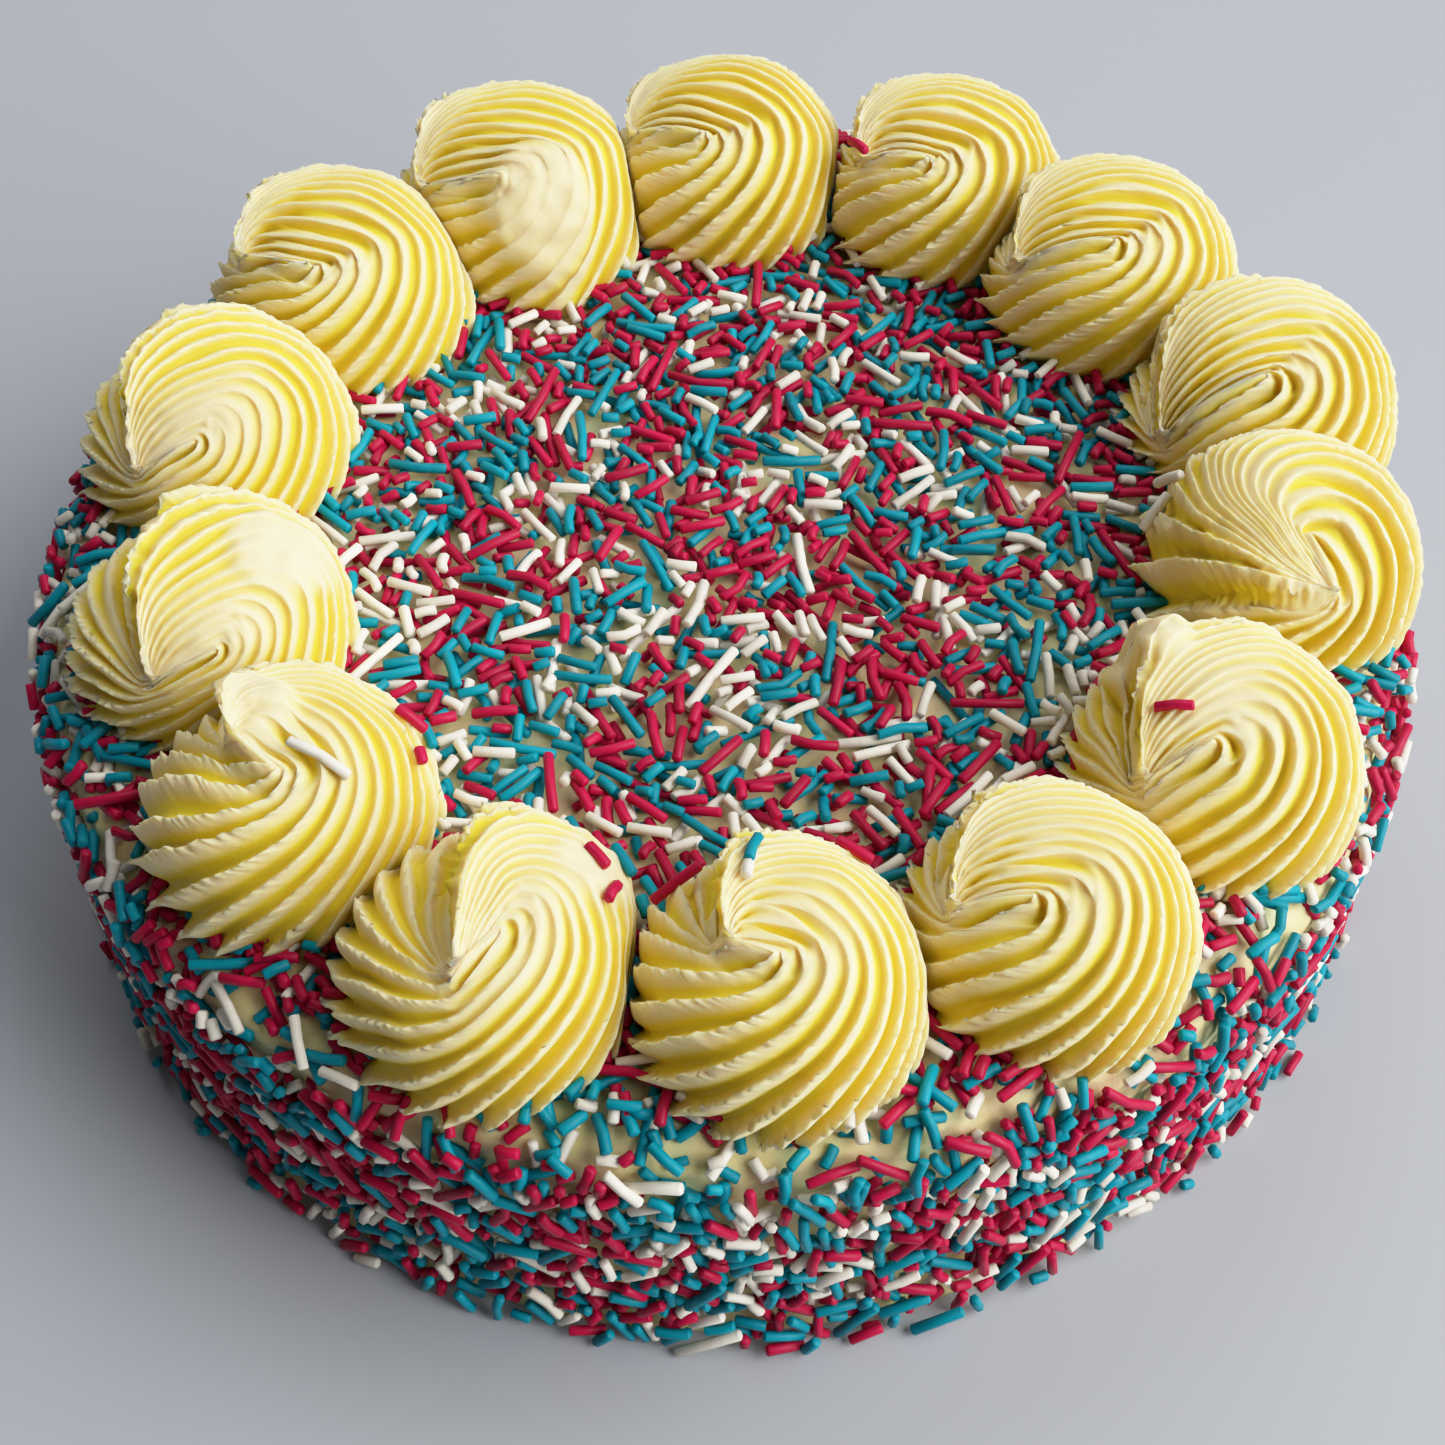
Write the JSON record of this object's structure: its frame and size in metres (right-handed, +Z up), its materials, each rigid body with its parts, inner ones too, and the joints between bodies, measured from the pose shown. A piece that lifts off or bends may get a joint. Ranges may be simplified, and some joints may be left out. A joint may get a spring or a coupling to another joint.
{
  "type": "gender reveal cake",
  "caption": "Round buttercream-iced layer cake, wall and middle of the top strewn with pink, blue and white sugar strands, with a ring of piped shell swirls round the rim.",
  "frame": {"origin": "on the underside, under the middle of the cake", "axes": "+Z up out of the iced top; -Y towards the viewer of the picture, +X to the right of the picture"},
  "size_m": [0.2126, 0.2126, 0.0784],
  "materials": {
    "icing": "spread buttercream, satin, softly translucent",
    "buttercream": "piped pale yellow buttercream, satin with a faint greasy sheen, softly translucent",
    "strand_pink": "sugar strand, deep pink, semi-gloss",
    "strand_blue": "sugar strand, turquoise, semi-gloss",
    "strand_white": "sugar strand, ivory white, semi-gloss"
  },
  "bodies": {
    "root": {"cake": "icing", "swirl_01": "buttercream", "swirl_02": "buttercream", "swirl_03": "buttercream", "swirl_04": "buttercream", "swirl_05": "buttercream", "swirl_06": "buttercream", "swirl_07": "buttercream", "swirl_08": "buttercream", "swirl_09": "buttercream", "swirl_10": "buttercream", "swirl_11": "buttercream", "swirl_12": "buttercream", "swirl_13": "buttercream", "swirl_14": "buttercream"}
  },
  "joints": []
}
